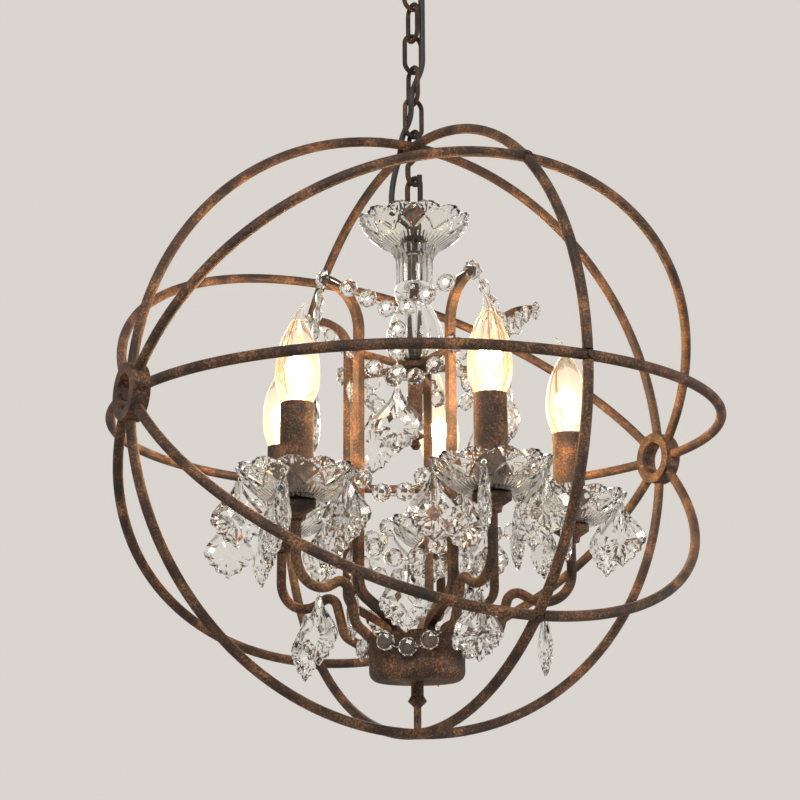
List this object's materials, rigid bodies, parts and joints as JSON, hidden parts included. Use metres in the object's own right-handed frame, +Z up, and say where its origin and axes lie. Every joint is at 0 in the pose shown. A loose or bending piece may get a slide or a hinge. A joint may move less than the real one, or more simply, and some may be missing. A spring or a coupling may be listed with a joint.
{
  "type": "orb chandelier",
  "caption": "Rust-finished iron orb cage on a chain, with a crystal chandelier of glass dishes, candle sleeves and bent-tip bulbs hung inside.",
  "frame": {"origin": "Centre of the two screw holes in the mounting bar's top face, on the ceiling plane; the whole fixture hangs below it.", "axes": "+Z up into the ceiling, X along the hub axis of the orb and the row of mounting holes, -Y the side nearer to the viewer of the picture."},
  "size_m": [0.5042, 0.5024, 0.7154],
  "materials": {
    "rust_iron": "matte",
    "dark_iron": "matte",
    "zinc_steel": "satin",
    "white_plastic": "matte",
    "cord_black": "matte",
    "clear_glass": "gloss",
    "cut_crystal": "gloss",
    "bulb_glass": "gloss"
  },
  "bodies": {
    "ceiling": {"ceiling_rose": "rust_iron", "mounting_bar": "zinc_steel", "rose_nipple": "zinc_steel", "collar_nut": "rust_iron", "rose_loop": "rust_iron", "terminal_block": "white_plastic", "cord_upper": "cord_black"},
    "top_link": {"chain_top_link": "dark_iron", "cord_middle": "cord_black"},
    "chain": {"chain_links": "dark_iron", "cord_lower": "cord_black"},
    "orb": {"cage_bar_1": "rust_iron", "cage_bar_2": "rust_iron", "cage_bar_3": "rust_iron", "cage_bar_4": "rust_iron", "cage_bar_5": "rust_iron", "cage_bar_6": "rust_iron", "cage_bar_7": "rust_iron", "cage_bar_8": "rust_iron", "cross_ring": "rust_iron", "hub_left": "rust_iron", "hub_right": "rust_iron", "cage_screws": "dark_iron", "orb_eye": "dark_iron", "inner_hook": "dark_iron", "stem_bail": "dark_iron", "centre_stem": "rust_iron", "frame_nuts": "dark_iron", "crown_dish": "clear_glass", "column_tube": "clear_glass", "column_vase": "clear_glass", "spider": "rust_iron", "stem_finial": "rust_iron", "junction_cup": "rust_iron", "junction_lid": "rust_iron", "bottom_finial": "rust_iron", "scroll_bars": "rust_iron", "candle_arms": "rust_iron", "drip_cups": "rust_iron", "candle_sleeves": "rust_iron", "lampholders": "white_plastic", "swag_beads": "cut_crystal", "garland_beads": "cut_crystal", "cup_swags": "cut_crystal", "dish_swags": "cut_crystal", "rosettes": "cut_crystal", "frame_drops": "cut_crystal", "dish_drops": "cut_crystal", "glass_dishes": "clear_glass"},
    "strand_1": {"swag_strand_1": "cut_crystal"},
    "bulb_1_body": {"bulb_1": "bulb_glass"},
    "strand_2": {"swag_strand_2": "cut_crystal"},
    "bulb_2_body": {"bulb_2": "bulb_glass"},
    "strand_3": {"swag_strand_3": "cut_crystal"},
    "bulb_3_body": {"bulb_3": "bulb_glass"},
    "strand_4": {"swag_strand_4": "cut_crystal"},
    "bulb_4_body": {"bulb_4": "bulb_glass"},
    "strand_5": {"swag_strand_5": "cut_crystal"},
    "bulb_5_body": {"bulb_5": "bulb_glass"}
  },
  "joints": [
    {"name": "loop_swing", "type": "hinge", "parent": "ceiling", "child": "top_link", "pos_m": [0, 0, -0.062], "axis": [0, 1, 0], "range_deg": [-20, 20], "deforming": ["cord_upper"]},
    {"name": "link_swing", "type": "hinge", "parent": "top_link", "child": "chain", "pos_m": [0, 0, -0.0912], "axis": [1, 0, 0], "range_deg": [-20, 20], "deforming": ["cord_middle"]},
    {"name": "orb_swing", "type": "hinge", "parent": "chain", "child": "orb", "pos_m": [0, 0, -0.21], "axis": [1, 0, 0], "range_deg": [-15, 15], "deforming": ["cord_lower"]},
    {"name": "strand_swing_1", "type": "hinge", "parent": "orb", "child": "strand_1", "pos_m": [0.04516, -0.06955, -0.3937], "axis": [0.8387, 0.5446, 0], "range_deg": [-10, 10]},
    {"name": "bulb_turn_1", "type": "hinge", "parent": "orb", "child": "bulb_1_body", "pos_m": [-0.00665, -0.12683, -0.4702], "axis": [0, 0, 1], "continuous": true},
    {"name": "strand_swing_2", "type": "hinge", "parent": "orb", "child": "strand_2", "pos_m": [0.0801, 0.02146, -0.3937], "axis": [-0.2588, 0.9659, 0], "range_deg": [-10, 10]},
    {"name": "bulb_turn_2", "type": "hinge", "parent": "orb", "child": "bulb_2_body", "pos_m": [0.11857, -0.04551, -0.4702], "axis": [0, 0, 1], "continuous": true},
    {"name": "strand_swing_3", "type": "hinge", "parent": "orb", "child": "strand_3", "pos_m": [0.00434, 0.08281, -0.3937], "axis": [-0.9986, 0.0523, 0], "range_deg": [-10, 10]},
    {"name": "bulb_turn_3", "type": "hinge", "parent": "orb", "child": "bulb_3_body", "pos_m": [0.07992, 0.0987, -0.4702], "axis": [0, 0, 1], "continuous": true},
    {"name": "strand_swing_4", "type": "hinge", "parent": "orb", "child": "strand_4", "pos_m": [-0.07742, 0.02972, -0.3937], "axis": [-0.3584, -0.9336, 0], "range_deg": [-10, 10]},
    {"name": "bulb_turn_4", "type": "hinge", "parent": "orb", "child": "bulb_4_body", "pos_m": [-0.06917, 0.10651, -0.4702], "axis": [0, 0, 1], "continuous": true},
    {"name": "strand_swing_5", "type": "hinge", "parent": "orb", "child": "strand_5", "pos_m": [-0.05219, -0.06444, -0.3937], "axis": [0.7771, -0.6293, 0], "range_deg": [-10, 10]},
    {"name": "bulb_turn_5", "type": "hinge", "parent": "orb", "child": "bulb_5_body", "pos_m": [-0.12267, -0.03287, -0.4702], "axis": [0, 0, 1], "continuous": true}
  ]
}
